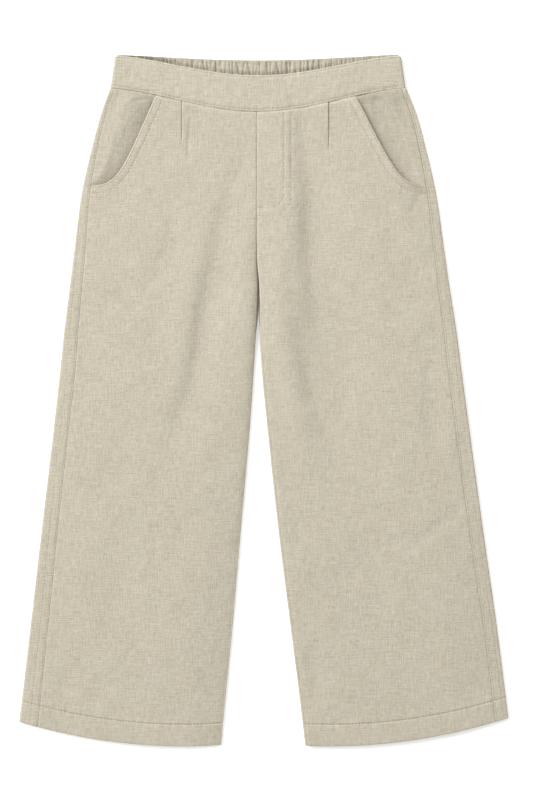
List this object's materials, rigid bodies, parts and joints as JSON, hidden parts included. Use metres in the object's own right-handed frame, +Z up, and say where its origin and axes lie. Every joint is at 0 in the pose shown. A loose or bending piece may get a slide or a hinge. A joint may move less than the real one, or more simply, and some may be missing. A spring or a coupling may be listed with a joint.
{
  "type": "wide-leg trousers",
  "caption": "Child's pull-on wide-leg linen trousers laid flat, with slant pockets, pleats, a mock fly and a gathered elastic back waist.",
  "frame": {"origin": "on the surface the trousers lie on, under the middle of their outline's box", "axes": "+X towards the wearer's left side, +Y from the hems to the waist, +Z up from the surface through the back and then the front"},
  "size_m": [0.4404, 0.6224, 0.0063],
  "materials": {
    "linen": "matt, slubbed plain weave"
  },
  "bodies": {
    "root": {"front_right": "linen", "front_left": "linen", "back_right": "linen", "back_left": "linen", "pocket_back_right": "linen", "pocket_back_left": "linen", "waistband_front": "linen", "waistband_back": "linen"}
  },
  "joints": []
}
